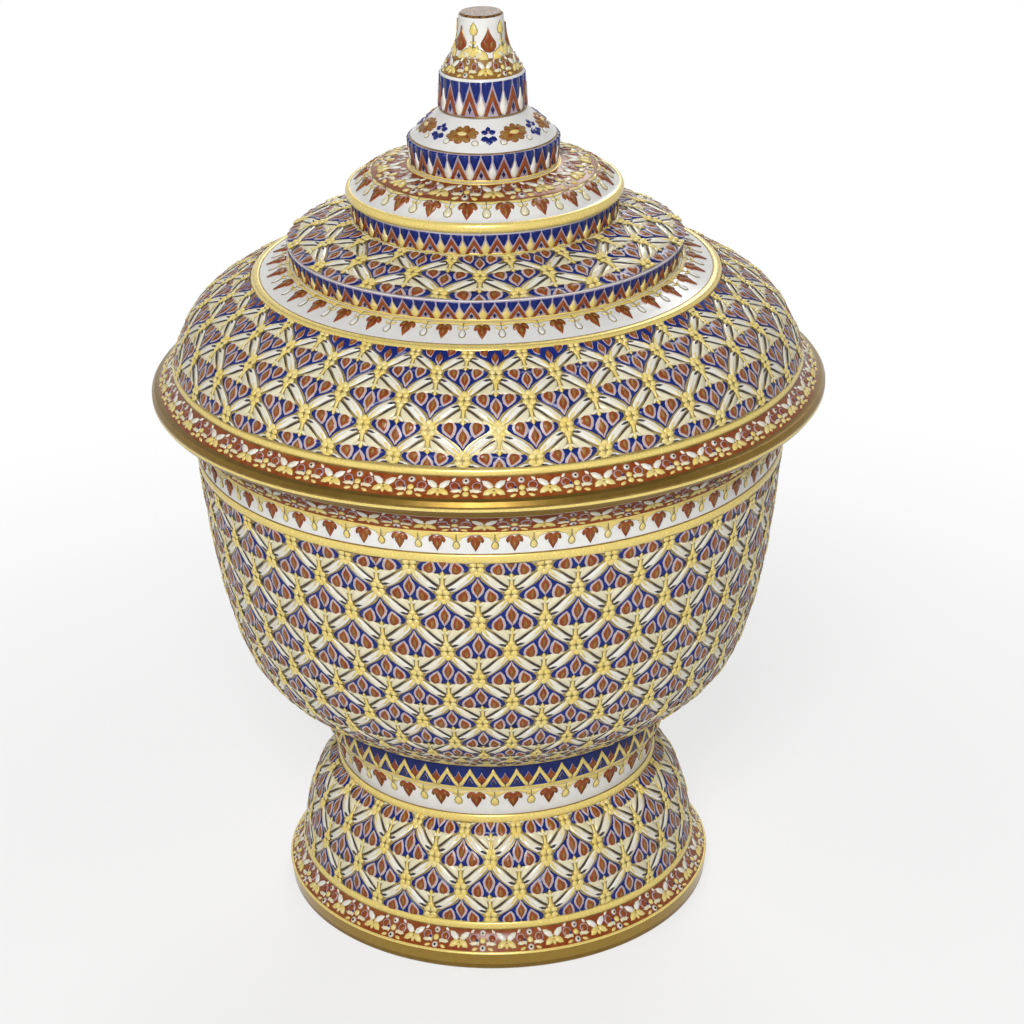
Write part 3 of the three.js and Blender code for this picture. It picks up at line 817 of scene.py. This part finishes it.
def makeFinialFlowers(look, wall, target):
    strip = bmesh.new()
    count, level = look["count"], look["level"]
    width = math.tau * onWall(wall, level)[0].x / count
    wide, tall = shoulder["spread"]
    for x, y, radius in shoulder["discs"]:
        lay(strip, placed(disc(radius), width / 2 + wide * x, level + tall * y), "rust", 0.26,
            edge="redBrown", rim=0.3)
    lay(strip, placed(disc(2.2, 12), width / 2, level, 10, 1.4, 0.85), "rust", 0.34, under=0.16, slope=0.3)
    for angle in shoulder["leaves"]:
        lay(strip, placed(petal(2.6, 0.8), width / 2, level, angle), "redBrown", 0.42, under=0.34, slope=0.08)
    lay(strip, placed(disc(1.05), width / 2, level, 0, 1.3, 0.7), "yellow", 0.56, edge="goldLine", rim=0.15,
        under=0.36)
    for angle in shoulder["upperSprig"]:
        lay(strip, placed(petal(2.0, 1.5), 0, level + 0.55, angle), "cobalt", 0.26, edge="lilac", rim=0.1)
    for angle in shoulder["lowerSprig"]:
        lay(strip, placed(petal(2.1, 1.7), 0, level - 0.75, angle), "cobalt", 0.26, edge="lilac", rim=0.1)
    lay(strip, placed(disc(0.34, 6), 0, level + 0.75), "lilac", 0.4, under=0.24, slope=0.08)
    for side in (-1, 1):
        lay(strip, placed(disc(0.95), side * look["dots"], level - 2.2), "petal", 0.24, edge="khaki",
            rim=0.28)
    cutStrip(strip, [width * k / 10 for k in range(-3, 10)], [level - 1.5, level, level + 1.5])
    wrapStrip(strip, wall, count, look["turn"], width, target)


# Spire's neck: yellow leaves at its foot, then red flames and yellow buds by turns
neck = {"flame": whole([(0, 6.4), (-0.5, 5.0), (-1.2, 3.8), (-2.05, 2.5), (-2.0, 1.5), (-1.1, 0.4), (0, 0)]),
        "bud": whole([(0, 3.7), (-0.95, 2.6), (-1.35, 1.4), (-0.9, 0.4), (0, 0)]), "budAt": 5.1,
        "flameAt": 1.2, "stalk": (0.26, 2.4, 5.6), "measuredAt": 3}


def makeFlames(look, wall, target):
    strip = bmesh.new()
    count, foot = look["count"], look["from"]
    width = math.tau * onWall(wall, foot + neck["measuredAt"])[0].x / count
    thick, low, top = neck["stalk"]
    lay(strip, bar(width / 2, thick, foot + low, foot + top), "khaki", 0.18, slope=0.06)
    for side in (-1, 1):
        lay(strip, placed(petal(4.6, 2.5), side * 0.3, foot - 0.5, 90 - side * 50), "yellow", 0.24,
            edge="khaki", rim=0.3)
        lay(strip, placed(petal(3.6, 2.0), width / 2 - side * 0.3, foot - 0.1, 90 - side * 24), "yellow",
            0.32, edge="khaki", rim=0.26)
        lay(strip, placed(petal(2.2, 1.5), width / 2 - side * 0.6, foot + 0.1, 90 + side * 50), "cream", 0.36,
            edge="khaki", rim=0.2)
        lay(strip, placed(petal(1.1, 0.6), width / 2, foot + 3.4, 90 - side * 50), "yellow", 0.26, slope=0.08)
    lay(strip, placed(neck["flame"], 0, foot + neck["flameAt"]), "redBrown", 0.34, edge="goldLine", rim=0.2)
    for side in (-1, 1):
        lay(strip, placed(petal(1.9, 0.7), side * 0.35, foot + 2.2, 90 - side * 14), "rust", 0.4, under=0.32,
            slope=0.06)
    lay(strip, placed(neck["bud"], width / 2, foot + neck["budAt"]), "yellow", 0.3, edge="khaki", rim=0.34)
    cutStrip(strip, [width * k / 10 for k in range(-5, 10)], [foot + 2, foot + 4, foot + 6])
    wrapStrip(strip, wall, count, look["turn"], width, target)


# The eight walls: bands end, and rings and ornament stand, at distances along the node's section, in mm.
# "turn" is in degrees round the wall and "count" is the number of repeats.
toEnd = math.inf
looks = {
    "foot": {
        "name": "foot", "body": "bowl_body", "slot": "foot_enamel", "steps": 160,
        # The foot's gilded edge is painted darker towards the bottom: the lipGold strip up to 5.4 is painted
        # shade and the footGold band above it a painted dark reflection
        "bands": [(3.5, "biscuit"), (5.4, "lipGold"), (8.6, "footGold"), (16.2, "redBrown"),
                  (44.4, "lattice"), (53.8, "white"), (56.2, "gold"), (62.35, "cobalt"), (toEnd, "white")],
        "rings": [(16.2, 0.95, 0.42, "gold"), (15.0, 0.24, 0.14, "goldLine"), (44.4, 1.15, 0.42, "gold"),
                  (8.8, 0.35, 0.14, "gold")],
        "lattice": {"count": 21, "turn": -2.7, "from": 17.3, "to": 43.2, "rows": [18.7, 25.9, 33.6, 41.7]},
        "floral": {"from": 9.1, "to": 14.9, "count": 28, "turn": 1.6},
        "border": {"from": 45.7, "to": 53.6, "count": 29, "turn": -7.2, "leaf": 4.9, "swag": 1.3},
        "collar": {"from": 56.2, "to": 62.3, "count": 48, "turn": -1.2}},
    "bowl": {
        "name": "bowl", "body": "bowl_body", "slot": "bowl_enamel", "steps": 192,
        "bands": [(44.0, "biscuit"), (124.6, "lattice"), (131.0, "white"), (131.7, "gold"),
                  (135.5, "redBrown"), (140.4, "gold"), (toEnd, "white")],
        "rings": [(124.6, 1.15, 0.42, "gold"), (46.3, 1.2, 0.42, "gold"), (131.35, 0.35, 0.14, "gold")],
        "lattice": {"count": 29, "turn": -2.9, "from": 47.3, "to": 123.5,
                    "rows": [50.8, 56.3, 62.5, 69.5, 77.0, 84.0, 91.4, 99.2, 107.3, 115.0, 122.2]},
        "floral": {"from": 131.8, "to": 135.3, "count": 34, "turn": -1.3},
        "border": {"from": 125.8, "to": 131.1, "count": 52, "turn": 4.0, "leaf": 4.1, "swag": 1.4}},
    "lid_dome": {
        "name": "dome", "body": "lid_body", "slot": "dome_enamel", "steps": 192,
        # The lip's bands from 13.2 to 25.1 are painted light: lipGold on its underside and top is painted
        # shade and painted dark reflection, the pale gold strip is a painted reflection and the thin goldLine
        # strip a painted dark reflection line
        "bands": [(13.2, "biscuit"), (21.5, "lipGold"), (22.2, "gold"), (22.5, "goldLine"), (25.1, "lipGold"),
                  (31.7, "redBrown"), (63.6, "lattice"), (73.3, "white"), (82.0, "biscuit"),
                  (toEnd, "white")],
        "rings": [(31.7, 0.75, 0.38, "gold"), (30.65, 0.3, 0.14, "goldLine"), (63.6, 1.15, 0.42, "gold")],
        "lattice": {"count": 30, "turn": -4.5, "from": 33.0, "to": 62.3, "down": True,
                    "rows": [34.5, 41.0, 48.2, 55.4, 61.4]},
        "floral": {"from": 25.1, "to": 30.3, "count": 40, "turn": 0.45, "rosettes": (1.9,),
                   "dots": (-0.1, -1.6)},
        "border": {"from": 65.0, "to": 72.9, "count": 36, "turn": -1.4, "leaf": 5.3, "wide": 0.95,
                   "swag": 1.2, "hang": 1.0, "drop": "white"}},
    "lid_middle_tier": {
        "name": "middle_tier", "body": "lid_body", "slot": "tier_enamel", "steps": 128,
        "bands": [(4.6, "biscuit"), (9.6, "lilac"), (10.1, "white"), (27.0, "lattice"), (toEnd, "white")],
        "rings": [(10.0, 0.4, 0.14, "lilac"), (4.75, 0.3, 0.14, "gold")],
        "lattice": {"count": 16, "turn": 9.0, "from": 10.3, "to": 26.9, "down": True,
                    "rows": [11.4, 18.5, 25.2]},
        "teeth": {"from": 5.0, "to": 9.5, "count": 56, "turn": 2.0, "drops": "yellow"}},
    "lid_upper_tier": {
        "name": "upper_tier", "body": "lid_body", "slot": "shoulder_enamel", "steps": 128,
        # The white band from 9.7 to 10.8 is the drum edge's pale glaze with a painted highlight along it
        "bands": [(4.6, "biscuit"), (9.7, "lilac"), (10.8, "white"), (13.1, "gold"), (20.0, "white"),
                  (20.3, "goldLine"), (28.9, "redBrown"), (29.7, "gold"), (toEnd, "white")],
        "rings": [(12.1, 1.2, 0.75, "gold"), (4.75, 0.3, 0.14, "gold"), (29.2, 0.3, 0.16, "gold")],
        "floral": {"from": 20.4, "to": 28.6, "count": 12, "turn": 4.6},
        "border": {"from": 13.2, "to": 19.9, "count": 21, "turn": -8.0, "leaf": 4.9, "swag": 0.8,
                   "drop": "cream"},
        "teeth": {"from": 4.9, "to": 9.6, "count": 38, "turn": 4.6, "drops": "yellow"}},
    "finial_base": {
        "name": "finial_base", "body": "lid_body", "slot": "finial_enamel", "steps": 96,
        "bands": [(3.5, "biscuit"), (10.5, "lilac"), (10.9, "goldLine"), (21.4, "white"), (toEnd, "biscuit")],
        "rings": [(3.75, 0.25, 0.12, "gold")],
        "teeth": {"from": 3.9, "to": 10.3, "count": 21, "turn": -2.5, "drops": "petal"},
        "flowers": {"count": 7, "turn": 5.0, "level": 15.8, "dots": 3.1}},
    "finial_spire": {
        "name": "spire", "body": "lid_body", "slot": "spire_enamel", "steps": 96,
        # The white band from 29.2 to 29.9 is a painted highlight along the drum's top edge
        "bands": [(20.4, "biscuit"), (29.2, "lilac"), (29.9, "white"), (35.0, "rust"), (44.5, "white"),
                  (toEnd, "speckle")],
        "rings": [(20.7, 0.2, 0.1, "goldLine")],
        "floral": {"from": 30.0, "to": 34.9, "count": 6, "turn": 5.0},
        "teeth": {"from": 20.9, "to": 29.2, "count": 12, "turn": 13.0, "drops": "petal"},
        "flames": {"count": 5, "turn": 17.0, "from": 35.0}},
}
makers = {"lattice": makeLattice, "floral": makeFloral, "border": makeBorder, "teeth": makeTeeth,
          "collar": makeCollar, "flowers": makeFinialFlowers, "flames": makeFlames}

for nodeName, look in looks.items():
    wall = makeWall(nodeName)
    makeShell(nodeName, look, wall)
    makeRings(look, wall)
    ornament = bmesh.new()
    for key, make in makers.items():
        if key in look:
            make(look[key], wall, ornament)
    splitByFinish(look, ornament)
    print(look["name"], "decorated")

# The ring under the lid's seat keeps its node and is plain glaze, rubbed bare where it slides
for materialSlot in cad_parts["lid_locating_flange"].material_slots:
    materialSlot.material = finishes["biscuit"]
print("flange glazed")
